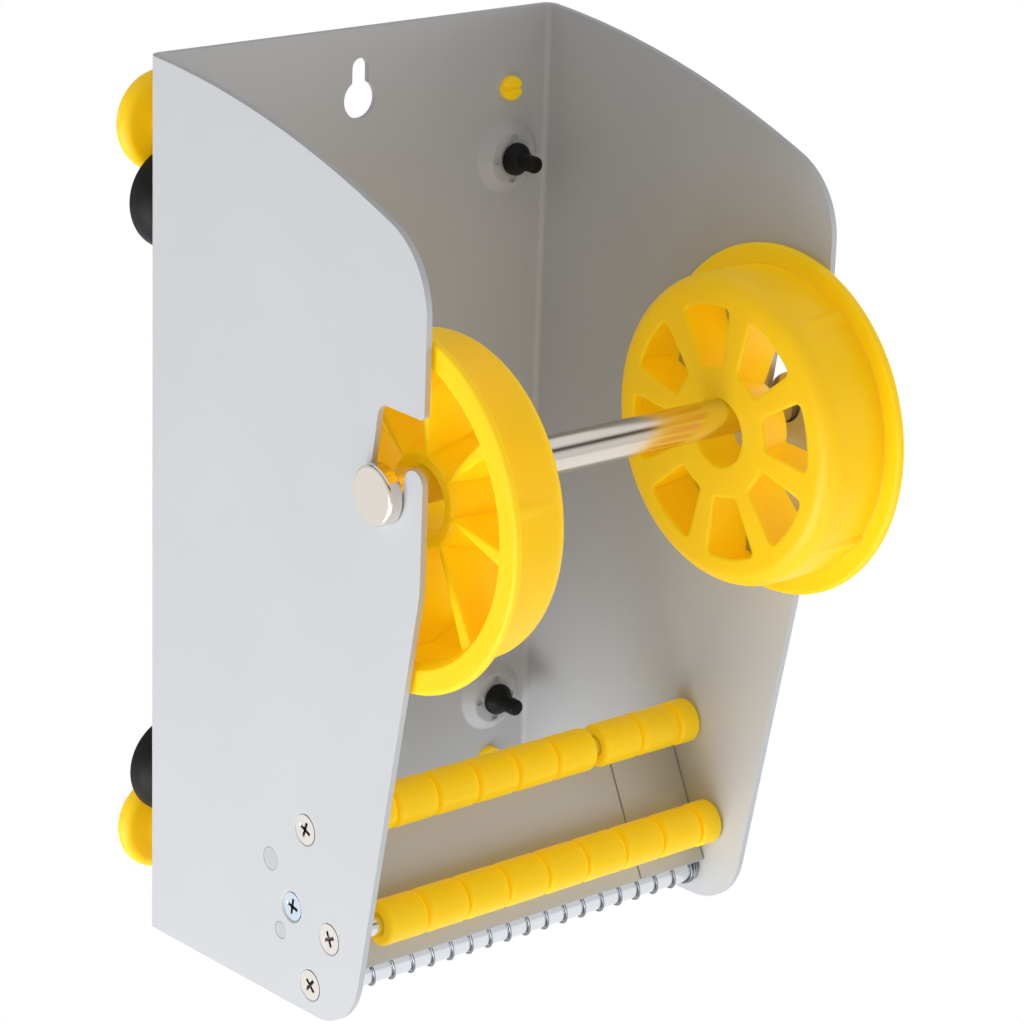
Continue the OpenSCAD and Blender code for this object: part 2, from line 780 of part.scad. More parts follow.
// Rubber cup: tail and knob inside the housing, neck through the hole, bowl behind
module suction_cup(side, z) {
    lip_r = cup_diameter / 2;
    seat_y = -boss_height;
    front_y = -sheet - boss_height;
    neck_r = neck_hole / 2 - 2 * fit;
    bowl_r = boss_top_diameter / 2 - sheet;
    knob_r = knob_diameter / 2;
    tail_r = tail_diameter / 2;
    knob_end = front_y - seat_gap - knob_length;
    tail_end = knob_end - tail_length;
    color("dimgray") from_lower_edge() turned_back(side * fixing_offset, z) polygon(concat(
        [[0, tail_end]],
        arc([tail_r - 1, tail_end + 1], 1, -90, 0, 4),
        [[tail_r, knob_end + 0.6], [knob_r * 0.7, knob_end + 1.2], [knob_r, knob_end + 3],
         [knob_r, front_y - seat_gap - 0.6], [knob_r - 0.6, front_y - seat_gap],
         [neck_r, front_y - seat_gap],
         [neck_r, seat_y + seat_gap], [bowl_r, seat_y + seat_gap], [bowl_r, -0.4]],
        [for (i = [1:8]) let (t = i / 8)
            [bowl_r + (lip_r - bowl_r) * sin(90 * t),
             -0.4 + (cup_depth - 1) * (1 - cos(90 * t)) + 0.4 * t]],
        [[lip_r, cup_depth], [lip_r - cup_wall, cup_depth]],
        [for (i = [6:-1:0]) let (t = i / 6)
            [(lip_r - cup_wall) * sin(90 * t), 2.2 + (cup_depth - 3) * (1 - cos(90 * t))]]));
}

module cup_upper_left() {
    suction_cup(-1, housing_height - cup_inset);
}

module cup_upper_right() {
    suction_cup(1, housing_height - cup_inset);
}

module cup_lower_left() {
    suction_cup(-1, cup_inset);
}

module cup_lower_right() {
    suction_cup(1, cup_inset);
}

// Moulded foot: a disc with a full round rim on a slotted stud
module screw_foot(side, z) {
    r = foot_diameter / 2;
    rim = foot_thickness / 2;
    stud_r = stud_diameter / 2;
    stud_end = -sheet - stud_proud;
    color("gold") from_lower_edge() difference() {
        turned_back(side * fixing_offset, z) polygon(concat(
            [[0, stud_end], [stud_r - 0.4, stud_end], [stud_r, stud_end + 0.4], [stud_r, foot_standoff - 2],
             [stud_r + 1.5, foot_standoff - 1.5], [stud_r + 1.5, foot_standoff]],
            arc([r - rim, foot_standoff + rim], rim, -90, 90, 12),
            [[0, foot_standoff + foot_thickness]]));
        translate([side * fixing_offset - stud_diameter, stud_end - through, z - stud_slot / 2])
            cube([2 * stud_diameter, through + 1.2, stud_slot]);
    }
}

module foot_upper_left() {
    screw_foot(-1, housing_height - foot_inset);
}

module foot_upper_right() {
    screw_foot(1, housing_height - foot_inset);
}

module foot_lower_left() {
    screw_foot(-1, foot_inset);
}

module foot_lower_right() {
    screw_foot(1, foot_inset);
}

housing();
peel_plate();
peel_plate_end();
ear_rivets();
stay_bar();
stay_screws();
axle_screws();
upper_axle();
lower_axle();
upper_collar_left();
upper_collar_right();
lower_collar_left();
lower_collar_right();
peel_bar();
peel_spring();
spindle_rod();
left_cap();
right_cap();
left_hub();
right_hub();
cup_upper_left();
cup_upper_right();
cup_lower_left();
cup_lower_right();
foot_upper_left();
foot_upper_right();
foot_lower_left();
foot_lower_right();
upper_sleeve(1);  // upper_sleeve_1
upper_sleeve(2);  // upper_sleeve_2
upper_sleeve(3);  // upper_sleeve_3
upper_sleeve(4);  // upper_sleeve_4
upper_sleeve(5);  // upper_sleeve_5
upper_sleeve(6);  // upper_sleeve_6
upper_sleeve(7);  // upper_sleeve_7
upper_sleeve(8);  // upper_sleeve_8
lower_sleeve(1);  // lower_sleeve_1
lower_sleeve(2);  // lower_sleeve_2
lower_sleeve(3);  // lower_sleeve_3
lower_sleeve(4);  // lower_sleeve_4
lower_sleeve(5);  // lower_sleeve_5
lower_sleeve(6);  // lower_sleeve_6
lower_sleeve(7);  // lower_sleeve_7
lower_sleeve(8);  // lower_sleeve_8
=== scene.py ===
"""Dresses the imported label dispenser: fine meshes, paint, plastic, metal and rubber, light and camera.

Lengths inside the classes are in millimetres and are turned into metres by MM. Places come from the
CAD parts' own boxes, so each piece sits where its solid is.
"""

import logging
import math
from dataclasses import dataclass
from enum import Enum
from typing import Iterable, Sequence

import bmesh
import bpy
from mathutils import Matrix, Vector


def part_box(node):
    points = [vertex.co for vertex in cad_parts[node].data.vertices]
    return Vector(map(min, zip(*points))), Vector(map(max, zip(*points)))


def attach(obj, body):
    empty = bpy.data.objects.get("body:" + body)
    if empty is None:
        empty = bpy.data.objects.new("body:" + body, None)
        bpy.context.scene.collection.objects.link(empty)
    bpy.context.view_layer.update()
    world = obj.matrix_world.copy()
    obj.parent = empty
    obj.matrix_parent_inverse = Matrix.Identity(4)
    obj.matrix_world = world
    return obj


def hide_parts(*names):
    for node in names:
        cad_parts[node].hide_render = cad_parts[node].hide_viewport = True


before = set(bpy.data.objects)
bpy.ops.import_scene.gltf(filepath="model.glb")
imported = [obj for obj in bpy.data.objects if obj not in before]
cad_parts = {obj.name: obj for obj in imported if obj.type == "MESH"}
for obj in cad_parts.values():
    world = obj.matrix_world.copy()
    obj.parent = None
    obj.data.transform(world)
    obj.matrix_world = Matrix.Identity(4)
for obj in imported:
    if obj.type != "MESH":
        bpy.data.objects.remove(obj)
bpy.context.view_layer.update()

MM = 0.001
LOG = logging.getLogger("dispenser")

# Vertices closer than this, in metres, are merged. Faces that meet at less than this angle are joined.
WELD = 2e-6
FLAT_ANGLE = math.radians(1)

# Colour sockets of a Mix node, which share their names with sockets of its other kinds.
MIX_FIRST, MIX_SECOND, MIX_RESULT = 6, 7, 2

# Distance that red, green and blue light scatters in the yellow plastic, in metres.
SCATTER = (0.006, 0.0035, 0.0004)


class Side(Enum):
    """Side of the dispenser, as the sign of X."""

    LEFT = -1
    RIGHT = 1

    @property
    def word(self) -> str:
        """The side as it is written in the nodes' names."""
        return self.name.lower()


class Level(Enum):
    """Upper or lower one of a pair, as it is written in the nodes' names."""

    UPPER = "upper"
    LOWER = "lower"


# Mesh helpers


def across_x(centre: Vector) -> Matrix:
    """Places a form turned about local Z so that its axis lies along world X.

    Args:
        centre: Point that local zero goes to, in metres.

    Returns:
        The placing matrix.
    """
    return Matrix.Translation(centre) @ Matrix.Rotation(math.radians(90), 4, "Y")


def turned(profile: Sequence[tuple[float, float]], place: Matrix, steps: int = 96) -> bmesh.types.BMesh:
    """Spins a profile a full turn about local Z.

    Args:
        profile: Radius and height of each point, in millimetres. A closed outline repeats its first point.
        place: Matrix that places the turned form, in metres.
        steps: Number of steps in the turn.

    Returns:
        A closed mesh with its faces outwards.
    """
    bm = bmesh.new()
    verts = [bm.verts.new((radius * MM, 0.0, height * MM)) for radius, height in profile]
    edges = [bm.edges.new(pair) for pair in zip(verts, verts[1:])]
    bmesh.ops.spin(
        bm, geom=verts + edges, cent=(0, 0, 0), axis=(0, 0, 1), angle=math.tau, steps=steps, use_merge=True
    )
    bmesh.ops.remove_doubles(bm, verts=bm.verts, dist=WELD)
    bmesh.ops.recalc_face_normals(bm, faces=bm.faces)
    bmesh.ops.transform(bm, matrix=place, verts=bm.verts)
    return bm


def sharp_edges(bm: bmesh.types.BMesh, angle: float) -> list[bmesh.types.BMEdge]:
    """Lists the edges where two faces meet at more than an angle, in degrees."""
    limit = math.radians(angle)
    return [e for e in bm.edges if len(e.link_faces) == 2 and e.calc_face_angle(0.0) > limit]


def soften(bm: bmesh.types.BMesh, width: float, angle: float = 40.0, segments: int = 2) -> None:
    """Rounds the sharp edges of a mesh.

    Args:
        bm: Mesh to change.
        width: Width of the round, in millimetres.
        angle: Least angle between the faces of an edge that is rounded, in degrees.
        segments: Faces across the round.
    """
    edges = sharp_edges(bm, angle)
    bmesh.ops.bevel(
        bm, geom=edges, offset=width * MM, offset_type="OFFSET", affect="EDGES",
        segments=segments, profile=0.5, material=-1, clamp_overlap=True,
    )


def node_copy(node: str) -> bmesh.types.BMesh:
    """Copies a CAD node's mesh, merges its loose triangles and joins what is flat.

    Args:
        node: Name of the node.

    Returns:
        The merged copy, in the node's own place.
    """
    bm = bmesh.new()
    bm.from_mesh(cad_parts[node].data)
    bmesh.ops.remove_doubles(bm, verts=bm.verts, dist=WELD)
    bmesh.ops.dissolve_limit(
        bm, angle_limit=FLAT_ANGLE, use_dissolve_boundaries=False,
        verts=bm.verts, edges=bm.edges, delimit={"NORMAL"},
    )
    return bm


def node_middle(node: str) -> Vector:
    """Centre of a node's box at rest, in metres."""
    low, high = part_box(node)
    return (Vector(low) + Vector(high)) / 2


def node_size(node: str) -> Vector:
    """Size of a node's box at rest, in millimetres."""
    low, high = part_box(node)
    return (Vector(high) - Vector(low)) / MM


def make_piece(
    bm: bmesh.types.BMesh,
    name: str,
    body: str,
    finish: "Finish",
    nodes: Iterable[str] = (),
    smooth_angle: float = 30.0,
) -> bpy.types.Object:
    """Turns a mesh into a finished piece that rides on a body.

    Args:
        bm: Mesh in world place, in metres. It is freed.
        name: Name of the piece.
        body: CAD body that the piece moves with.
        finish: Finish that gives its material.
        nodes: CAD nodes that the piece stands for.
        smooth_angle: Edges sharper than this stay sharp in the shading, in degrees.

    Returns:
        The new object.
    """
    mesh = bpy.data.meshes.new(name)
    for face in bm.faces:
        face.smooth = True
    limit = math.radians(smooth_angle)
    for edge in bm.edges:
        edge.smooth = not (len(edge.link_faces) == 2 and edge.calc_face_angle(0.0) > limit)
    bm.to_mesh(mesh)
    bm.free()
    piece = bpy.data.objects.new(name, mesh)
    bpy.context.scene.collection.objects.link(piece)
    mesh.materials.append(finish.material())
    even = piece.modifiers.new("even_normals", "WEIGHTED_NORMAL")
    even.keep_sharp = True
    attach(piece, body)
    if nodes:
        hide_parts(*nodes)
    LOG.info("%s: %d faces, rides on %s", name, len(mesh.polygons), body)
    return piece


# Shader helpers


class NodeTree:
    """Short way to add and link the nodes of one tree."""

    def __init__(self, tree: bpy.types.NodeTree) -> None:
        """Takes the tree that nodes are added to."""
        self.tree = tree

    def add(self, kind: str, **settings: object) -> bpy.types.Node:
        """Adds a node.

        Args:
            kind: Blender's name of the node type.
            settings: Properties of the node by name, or input values where the key starts with in_.

        Returns:
            The new node.
        """
        node = self.tree.nodes.new(kind)
        for key, value in settings.items():
            if key.startswith("in_"):
                node.inputs[key[3:].replace("_", " ")].default_value = value
            else:
                setattr(node, key, value)
        return node

    def link(self, source: bpy.types.NodeSocket, target: bpy.types.NodeSocket) -> None:
        """Links an output to an input."""
        self.tree.links.new(source, target)


def grain_group() -> bpy.types.NodeTree:
    """Shader group for fine surface grain: a height for bump and a mask for slight roughness changes.

    Returns:
        The group, built once.
    """
    name = "surface_grain"
    if name in bpy.data.node_groups:
        return bpy.data.node_groups[name]
    group = bpy.data.node_groups.new(name, "ShaderNodeTree")
    scale = group.interface.new_socket("Grain per metre", in_out="INPUT", socket_type="NodeSocketFloat")
    scale.default_value = 1500.0
    group.interface.new_socket("Height", in_out="OUTPUT", socket_type="NodeSocketFloat")
    group.interface.new_socket("Cloud", in_out="OUTPUT", socket_type="NodeSocketFloat")
    nodes = NodeTree(group)
    entry = nodes.add("NodeGroupInput")
    leave = nodes.add("NodeGroupOutput")
    place = nodes.add("ShaderNodeTexCoord")
    fine = nodes.add("ShaderNodeTexNoise", in_Detail=3.0, in_Roughness=0.55)
    broad = nodes.add("ShaderNodeTexNoise", in_Scale=28.0, in_Detail=3.0, in_Roughness=0.5)
    nodes.link(entry.outputs["Grain per metre"], fine.inputs["Scale"])
    nodes.link(place.outputs["Object"], fine.inputs["Vector"])
    nodes.link(place.outputs["Object"], broad.inputs["Vector"])
    nodes.link(fine.outputs["Fac"], leave.inputs["Height"])
    nodes.link(broad.outputs["Fac"], leave.inputs["Cloud"])
    return group


@dataclass(frozen=True)
class Finish:
    """A surface finish: one colour family with fine grain, slight clouding and a matching gloss; some
    finishes also carry painted light: a glow in the plastic and shade in the screw recesses.

    Attributes:
        name: Name of the material.
        slot: Material slot of the record that it stands for; not used.
        colour: Base colour, linear.
        shade: Slightly different colour that clouds and wear lead to, linear.
        roughness: Middle roughness.
        roughness_swing: How far the clouding changes the roughness.
        metallic: 0 for paint and plastic, 1 for metal.
        grain: Grain cells per metre.
        bump: Depth of the grain, in metres.
        specular: Specular level of the base.
        subsurface: Weight of light that scatters inside, for plastics.
        glow: Painted light, an emission that lifts the plastic's shaded hollows and stands in for light
            that soaks through the thin translucent wall and bounces inside, linear.
        edge_soft: Radius that the shading gives to edges, in millimetres.
        painted_shade_within: Distance from the middle of the dispenser below which a screw gets painted
            shade, in millimetres.
        painted_shade_fade: Depth over which that painted shade fades in, in millimetres.
        painted_shade_colour: Colour of the painted shade in a screw's cross recess and on the side of its
            head, linear.
    """

    name: str
    slot: str
    colour: tuple[float, float, float]
    shade: tuple[float, float, float]
    roughness: float
    roughness_swing: float = 0.05
    metallic: float = 0.0
    grain: float = 1500.0
    bump: float = 2e-6
    specular: float = 0.5
    subsurface: float = 0.0
    glow: tuple[float, float, float] = (0.0, 0.0, 0.0)
    edge_soft: float = 0.0
    painted_shade_within: float = 0.0
    painted_shade_fade: float = 0.15
    painted_shade_colour: tuple[float, float, float] = (0.17, 0.13, 0.11)

    def material(self) -> bpy.types.Material:
        """Builds the material on first use.

        Returns:
            The shared material.
        """
        if self.name in bpy.data.materials:
            return bpy.data.materials[self.name]
        made = bpy.data.materials.new(self.name)
        made.use_nodes = True
        nodes = NodeTree(made.node_tree)
        shader = made.node_tree.nodes["Principled BSDF"]
        grain = nodes.add("ShaderNodeGroup", node_tree=grain_group())
        grain.inputs["Grain per metre"].default_value = self.grain
        blend = nodes.add("ShaderNodeMix", data_type="RGBA")
        blend.inputs[MIX_FIRST].default_value = (*self.colour, 1.0)
        blend.inputs[MIX_SECOND].default_value = (*self.shade, 1.0)
        nodes.link(grain.outputs["Cloud"], blend.inputs["Factor"])
        colour = blend.outputs[MIX_RESULT]
        # Painted shade: a screw turns dark below its face, in its cross recess and on the side of its
        # head.
        if self.painted_shade_within > 0:
            colour = self.with_painted_recess_shade(nodes, colour)
        nodes.link(colour, shader.inputs["Base Color"])
        rough = nodes.add("ShaderNodeMapRange")
        rough.inputs["To Min"].default_value = self.roughness - self.roughness_swing
        rough.inputs["To Max"].default_value = self.roughness + self.roughness_swing
        nodes.link(grain.outputs["Cloud"], rough.inputs["Value"])
        nodes.link(rough.outputs["Result"], shader.inputs["Roughness"])
        bump = nodes.add("ShaderNodeBump", in_Strength=1.0, in_Distance=self.bump)
        nodes.link(grain.outputs["Height"], bump.inputs["Height"])
        if self.edge_soft > 0:
            soft = nodes.add("ShaderNodeBevel", samples=6, in_Radius=self.edge_soft * MM)
            nodes.link(soft.outputs["Normal"], bump.inputs["Normal"])
        nodes.link(bump.outputs["Normal"], shader.inputs["Normal"])
        shader.inputs["Metallic"].default_value = self.metallic
        shader.inputs["Specular IOR Level"].default_value = self.specular
        shader.inputs["Subsurface Weight"].default_value = self.subsurface
        shader.inputs["Subsurface Radius"].default_value = SCATTER
        shader.inputs["Subsurface Scale"].default_value = 1.0
        # Painted light: the glow is emission, so a finish with glow lights itself though it is no lamp.
        shader.inputs["Emission Color"].default_value = (*self.glow, 1.0)
        shader.inputs["Emission Strength"].default_value = 1.0 if any(self.glow) else 0.0
        return made

    def with_painted_recess_shade(self, nodes: NodeTree, colour: bpy.types.NodeSocket) -> bpy.types.NodeSocket:
        """Paints shade on what lies below a screw's face, such as its cross recess and the side of its
        head.

        Args:
            nodes: Tree of the material.
            colour: Colour of the face.

        Returns:
            The colour with painted shade below the face.
        """
        place = nodes.add("ShaderNodeTexCoord")
        split = nodes.add("ShaderNodeSeparateXYZ")
        outward = nodes.add("ShaderNodeMath", operation="ABSOLUTE")
        depth = nodes.add("ShaderNodeMapRange")
        depth.inputs["From Min"].default_value = (self.painted_shade_within - self.painted_shade_fade) * MM
        depth.inputs["From Max"].default_value = self.painted_shade_within * MM
        nodes.link(place.outputs["Object"], split.inputs[0])
        nodes.link(split.outputs["X"], outward.inputs[0])
        nodes.link(outward.outputs[0], depth.inputs["Value"])
        dark = nodes.add("ShaderNodeMix", data_type="RGBA")
        dark.inputs[MIX_FIRST].default_value = (*self.painted_shade_colour, 1.0)
        nodes.link(depth.outputs["Result"], dark.inputs["Factor"])
        nodes.link(colour, dark.inputs[MIX_SECOND])
        return dark.outputs[MIX_RESULT]


class Finishes:
    """The dispenser's finishes."""

    PAINT = Finish(
        "silver_grey_powder_coat", "painted_sheet", (0.60, 0.615, 0.64), (0.56, 0.575, 0.60),
        roughness=0.42, roughness_swing=0.04, grain=1400.0, bump=3e-6, specular=0.45,
    )
    PLATE_PAINT = Finish(
        "plate_powder_coat", "painted_plate", (0.56, 0.57, 0.58), (0.53, 0.54, 0.55),
        roughness=0.40, roughness_swing=0.04, grain=1400.0, bump=3e-6, specular=0.45,
    )
    RIVET_PAINT = Finish(
        "rivet_paint", "painted_rivet", (0.53, 0.54, 0.55), (0.50, 0.51, 0.52),
        roughness=0.38, grain=1400.0, bump=3e-6,
    )
    # The yellow plastic carries painted light: its glow is emission that brightens its shaded pockets and
    # grooves.
    YELLOW = Finish(
        "warm_yellow_plastic", "yellow_plastic", (0.86, 0.57, 0.004), (0.85, 0.55, 0.003),
        roughness=0.42, roughness_swing=0.04, grain=2200.0, bump=2e-6, specular=0.4, subsurface=0.7,
        glow=(0.24, 0.155, 0.0005), edge_soft=1.0,
    )
    RUBBER = Finish(
        "soft_rubber", "black_rubber", (0.008, 0.008, 0.0085), (0.014, 0.014, 0.014),
        roughness=0.5, grain=2500.0, bump=3e-6, specular=0.15,
    )
    POLISHED = Finish(
        "polished_nickel", "chrome", (0.80, 0.75, 0.69), (0.74, 0.69, 0.63),
        roughness=0.19, roughness_swing=0.04, metallic=1.0, grain=3000.0, bump=4e-7,
    )
    # The screw finishes paint shade below the head's face, where the cross recess and the gap round the
    # head lie.
    NICKEL = Finish(
        "satin_nickel", "nickel", (0.84, 0.80, 0.75), (0.78, 0.74, 0.69),
        roughness=0.32, roughness_swing=0.06, metallic=1.0, grain=4000.0, bump=1e-6, painted_shade_within=59.85,
    )
    ZINC = Finish(
        "bright_zinc", "zinc", (0.80, 0.83, 0.86), (0.74, 0.77, 0.80),
        roughness=0.22, roughness_swing=0.05, metallic=1.0, grain=3000.0, bump=6e-7,
    )
    # Painted shade: the spring wire is a darker copy of the zinc, so its coils show as dark lines against
    # the bar.
    SHADED_WIRE = Finish(
        "spring_wire", "zinc", (0.26, 0.28, 0.30), (0.20, 0.22, 0.24),
        roughness=0.25, roughness_swing=0.05, metallic=1.0, grain=3000.0, bump=6e-7,
    )
    BLUE_ZINC = Finish(
        "blue_passivated_zinc", "blue_zinc", (0.72, 0.82, 0.93), (0.66, 0.77, 0.88),
        roughness=0.28, roughness_swing=0.05, metallic=1.0, grain=3500.0, bump=8e-7, painted_shade_within=59.65,
    )


# Sub-assemblies


@dataclass
class Housing:
    """The bent sheet with its hook slots, recesses and holes.

    Attributes:
        edge_round: Round that the paint leaves on the sheet's edges, in millimetres.
    """

    edge_round: float = 0.35

    def build(self) -> None:
        """Makes the housing with rounded sheet edges."""
        bm = node_copy("housing")
        soften(bm, self.edge_round, segments=3)
        make_piece(bm, "housing_sheet", "housing", Finishes.PAINT, ["housing"])


@dataclass
class PeelPlate:
    """The sloped plate in two parts, with the rivets of its ears.

    Attributes:
        edge_round: Round on the plate's edges, in millimetres.
        rivet_round: Round on the rivets' edges, in millimetres.
    """

    edge_round: float = 0.25
    rivet_round: float = 0.2

    def build(self) -> None:
        """Makes both plate parts and their rivets."""
        for node in ("peel_plate", "peel_plate_end"):
            bm = node_copy(node)
            soften(bm, self.edge_round)
            make_piece(bm, node + "_sheet", "housing", Finishes.PLATE_PAINT, [node])
        bm = node_copy("ear_rivets")
        soften(bm, self.rivet_round)
        make_piece(bm, "ear_rivet_heads", "housing", Finishes.RIVET_PAINT, ["ear_rivets"])


@dataclass
class Rods:
    """Axles, stay bar and peel bar: plain rods between the side panels.

    Attributes:
        chamfer: Bevel on a rod's ends, in millimetres.
    """

    chamfer: float = 0.3

    def build(self) -> None:
        """Makes each rod in zinc."""
        for node in ("upper_axle", "lower_axle", "stay_bar", "peel_bar"):
            size = node_size(node)
            radius, half = size.z / 2, size.x / 2
            narrow, inner = radius - self.chamfer, half - self.chamfer
            profile = [
                (0, -half), (narrow, -half), (radius, -inner),
                (radius, inner), (narrow, half), (0, half),
            ]
            bm = turned(profile, across_x(node_middle(node)), steps=64)
            make_piece(bm, node + "_rod", "housing", Finishes.ZINC, [node])


@dataclass
class PeelSpring:
    """Wire spring drawn out along the peel bar.

    Attributes:
        wire: Diameter of the wire, in millimetres.
        room: Radius of the wire in the solid, which sets the coils' own radius, in millimetres.
        closed: Closed turns at each end.
        closed_pitch: Distance between the closed turns, in millimetres.
        pitch: Distance between the open coils, in millimetres.
        steps: Steps per turn.
        sides: Sides of the wire's section.
    """

    wire: float = 0.62
    room: float = 0.35
    closed: int = 2
    closed_pitch: float = 0.8
    pitch: float = 5.9
    steps: int = 36
    sides: int = 10

    def build(self) -> None:
        """Winds the wire by spinning its section along the bar."""
        size, middle = node_size("peel_spring"), node_middle("peel_spring")
        mean = size.z / 2 - self.room
        half = size.x / 2 - self.room
        open_length = 2 * (half - self.closed * self.closed_pitch)
        turns = round(open_length / self.pitch)
        bm = bmesh.new()
        radius = self.wire / 2 * MM
        section = bmesh.ops.create_circle(bm, cap_ends=False, segments=self.sides, radius=radius)["verts"]
        bmesh.ops.translate(bm, verts=section, vec=(-half * MM, -mean * MM, 0))
        edges = list({e for v in section for e in v.link_edges})
        ends = (self.closed, self.closed_pitch)
        for count, pitch in (ends, (turns, open_length / turns), ends):
            spun = bmesh.ops.spin(
                bm, geom=section + edges, cent=(0, 0, 0), axis=(1, 0, 0), angle=math.tau * count,
                dvec=(pitch * MM / self.steps, 0, 0), steps=count * self.steps,
            )["geom_last"]
            section = [g for g in spun if isinstance(g, bmesh.types.BMVert)]
            edges = [g for g in spun if isinstance(g, bmesh.types.BMEdge)]
        rims = [e for e in bm.edges if len(e.link_faces) == 1]
        bmesh.ops.holes_fill(bm, edges=rims, sides=self.sides)
        bmesh.ops.recalc_face_normals(bm, faces=bm.faces)
        bmesh.ops.transform(bm, matrix=Matrix.Translation(middle), verts=bm.verts)
        # The wire carries painted shade through its darker copy of the zinc.
        make_piece(bm, "peel_spring_wire", "housing", Finishes.SHADED_WIRE, ["peel_spring"])


@dataclass
class Roller:
    """One guide roller: loose sleeves between two end collars.

    Attributes:
        level: Which of the two rollers it is.
        edge_round: Round on a sleeve's edges, in millimetres.
        collar_round: Round on a collar's edges, in millimetres.
        bore_gap: Gap between a sleeve and its axle, in millimetres.
        collar_gap: Gap between a collar and its axle, in millimetres.
        groove: Shortening of each end, which deepens the groove between two sleeves, in millimetres.
    """

    level: Level
    edge_round: float = 0.9
    collar_round: float = 0.5
    bore_gap: float = 0.5
    collar_gap: float = 0.1
    groove: float = 0.3

    def build(self) -> None:
        """Makes the sleeves and the two collars."""
        for node in sorted(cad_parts):
            if node.startswith(self.level.value + "_sleeve"):
                self.ring(node, node, self.bore_gap, self.edge_round)
            elif node.startswith(self.level.value + "_collar"):
                self.ring(node, "housing", self.collar_gap, self.collar_round)

    def ring(self, node: str, body: str, gap: float, edge: float) -> None:
        """Makes one sleeve or collar.

        Args:
            node: CAD node that it stands for.
            body: Body that it moves with.
            gap: Gap round the axle, in millimetres.
            edge: Round on its outer edges, in millimetres.
        """
        size, middle = node_size(node), node_middle(node)
        radius, half = size.z / 2, size.x / 2 - self.groove
        bore = node_size(self.level.value + "_axle").z / 2 + gap
        profile = [(bore, -half), (radius, -half), (radius, half), (bore, half), (bore, -half)]
        bm = turned(profile, across_x(middle), steps=72)
        halfway = (bore + radius) / 2 * MM
        outer = [
            e for e in sharp_edges(bm, 40.0)
            if min((v.co - middle).yz.length for v in e.verts) > halfway
        ]
        bmesh.ops.bevel(
            bm, geom=outer, offset=edge * MM, affect="EDGES", segments=4, profile=0.5, material=-1
        )
        make_piece(bm, node + "_shell", body, Finishes.YELLOW, [node], smooth_angle=40.0)


@dataclass
class Spindle:
    """The lift-out rod with its two end caps.

    Attributes:
        cap_round: Round on a cap's outer edge, in millimetres.
        cap_chamfer: Bevel on a cap's inner edge, in millimetres.
        end_step: How far the rod's ends are stepped down inside the caps, in millimetres.
        end_length: Length of those ends, in millimetres.
    """

    cap_round: float = 0.8
    cap_chamfer: float = 0.3
    end_step: float = 2.0
    end_length: float = 2.5

    def build(self) -> None:
        """Makes the rod and the caps."""
        self.rod()
        for side in Side:
            self.cap(side)

    def rod(self) -> None:
        """Makes the rod with its stepped ends."""
        size = node_size("spindle_rod")
        radius, half = size.z / 2, size.x / 2
        narrow, inner = radius - self.end_step, half - self.end_length
        profile = [
            (0, -half), (narrow, -half), (narrow, -inner), (radius, -inner),
            (radius, inner), (narrow, inner), (narrow, half), (0, half),
        ]
        bm = turned(profile, across_x(node_middle("spindle_rod")))
        make_piece(bm, "spindle_shaft", "spindle", Finishes.POLISHED, ["spindle_rod"])

    def cap(self, side: Side) -> None:
        """Makes the cap of one side.

        Args:
            side: Side of the dispenser that it closes.
        """
        node = side.word + "_cap"
        size = node_size(node)
        radius, half = size.z / 2, size.x / 2
        bend, chamfer = self.cap_round, self.cap_chamfer
        arc = [
            (radius - bend + bend * math.cos(turn), half - bend + bend * math.sin(turn))
            for turn in (math.radians(angle) for angle in range(0, 91, 15))
        ]
        profile = [(0, -half), (radius - chamfer, -half), (radius, -half + chamfer), *arc, (0, half)]
        bm = turned([(r, height * side.value) for r, height in profile], across_x(node_middle(node)))
        make_piece(bm, node + "_button", "spindle", Finishes.POLISHED, [node])


@dataclass
class CoreHub:
    """One spoked hub that fills a label core.

    Attributes:
        side: Side of the dispenser that it hangs on.
        edge_round: Round on the moulding's edges, in millimetres.
    """

    side: Side
    edge_round: float = 0.5

    def build(self) -> None:
        """Makes the hub with softened edges."""
        node = self.side.word + "_hub"
        bm = node_copy(node)
        soften(bm, self.edge_round, angle=35.0, segments=3)
        make_piece(bm, node + "_moulding", node, Finishes.YELLOW, [node])


@dataclass
class BackFixings:
    """Suction cups and screw feet behind the housing.

    Attributes:
        foot_round: Round on a foot's edges, in millimetres.
    """

    foot_round: float = 0.25

    def build(self) -> None:
        """Makes the four cups and the four feet."""
        for level in Level:
            for side in Side:
                cup, foot = (kind + level.value + "_" + side.word for kind in ("cup_", "foot_"))
                bm = node_copy(cup)
                make_piece(bm, cup + "_rubber", "housing", Finishes.RUBBER, [cup], smooth_angle=50.0)
                bm = node_copy(foot)
                soften(bm, self.foot_round)
                make_piece(bm, foot + "_moulding", foot, Finishes.YELLOW, [foot], smooth_angle=40.0)


@dataclass
class PanelScrews:
    """Countersunk screws in the side panels.

    Attributes:
        edge_round: Round on a head's rim, in millimetres.
        shrink: Share of a screw's radius that is kept, which opens a dark line round its head.
        reach: Distance from its axis that holds all of a screw and nothing of the next, in millimetres.
    """

    edge_round: float = 0.05
    shrink: float = 0.96
    reach: float = 6.0

    def build(self) -> None:
        """Makes the axle screws and the stay screws."""
        for node, finish in (("axle_screws", Finishes.NICKEL), ("stay_screws", Finishes.BLUE_ZINC)):
            bm = node_copy(node)
            for axis in self.axes(node):
                near = [v for v in bm.verts if (v.co - axis).yz.length < self.reach * MM]
                bmesh.ops.scale(
                    bm, vec=(1.0, self.shrink, self.shrink), space=Matrix.Translation(-axis), verts=near
                )
            soften(bm, self.edge_round)
            make_piece(bm, node + "_heads", "housing", finish, [node])

    def axes(self, node: str) -> list[Vector]:
        """Lists a point on the axis of each pair of screws, which is that of the rod between them."""
        rods = ("stay_bar",) if node == "stay_screws" else ("upper_axle", "lower_axle", "peel_bar")
        return [node_middle(rod) for rod in rods]


# Studio


